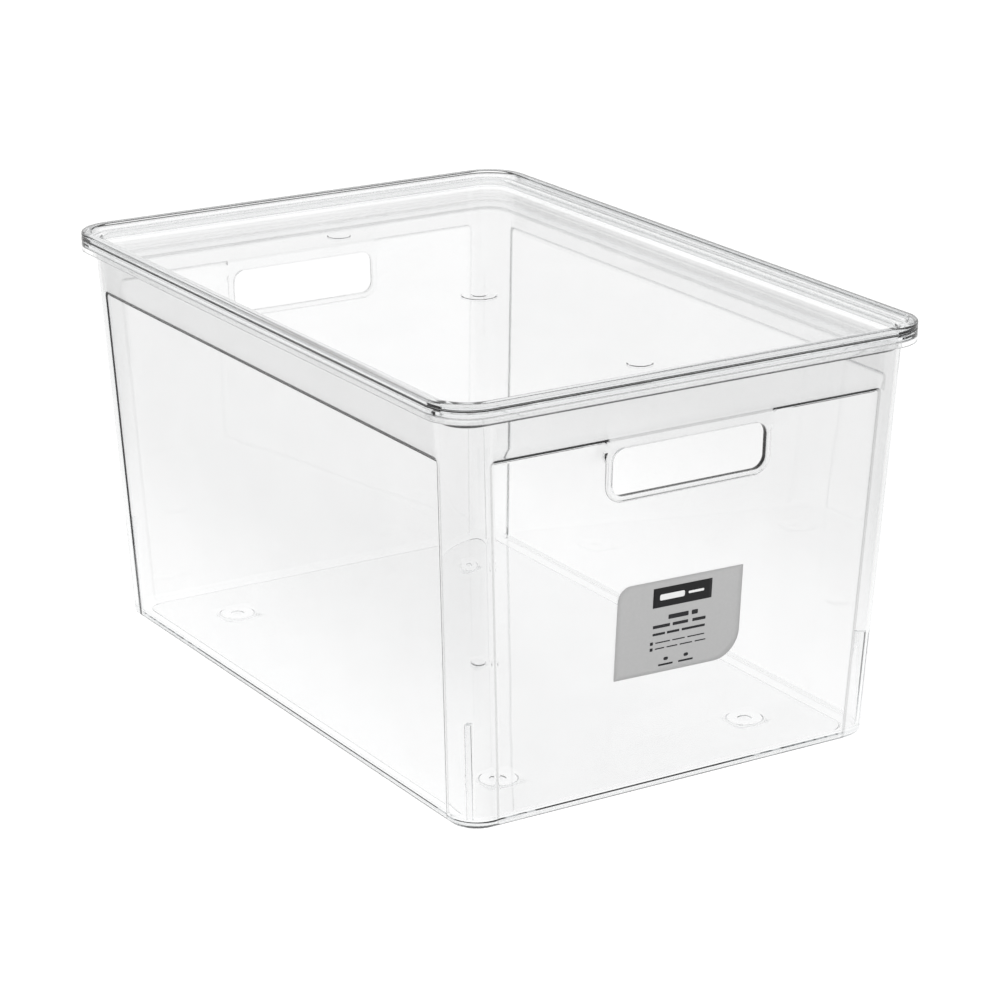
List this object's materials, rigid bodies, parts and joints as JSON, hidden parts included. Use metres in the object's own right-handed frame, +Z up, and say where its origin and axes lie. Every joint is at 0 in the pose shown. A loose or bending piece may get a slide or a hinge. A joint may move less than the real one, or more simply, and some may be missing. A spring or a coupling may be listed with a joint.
{
  "type": "lidded storage box",
  "caption": "Clear rigid plastic storage box with tapering walls, hand slots in both ends and a lift-off lid with a sunken stacking panel.",
  "frame": {"origin": "on the table, under the middle of the box", "axes": "+Z up, +Y along the length, away from the labelled end, +X across the width"},
  "size_m": [0.305, 0.445, 0.24],
  "materials": {
    "tub_plastic": "clear, polished",
    "lid_plastic": "clear, polished",
    "label_film": "matt printed self-adhesive label"
  },
  "bodies": {
    "tub": {"tub": "tub_plastic", "label": "label_film"},
    "lid": {"lid": "lid_plastic"}
  },
  "joints": [
    {"name": "lid_lift", "type": "slide", "parent": "tub", "child": "lid", "axis": [0, 0, 1], "range_m": [0, 0.15]}
  ]
}
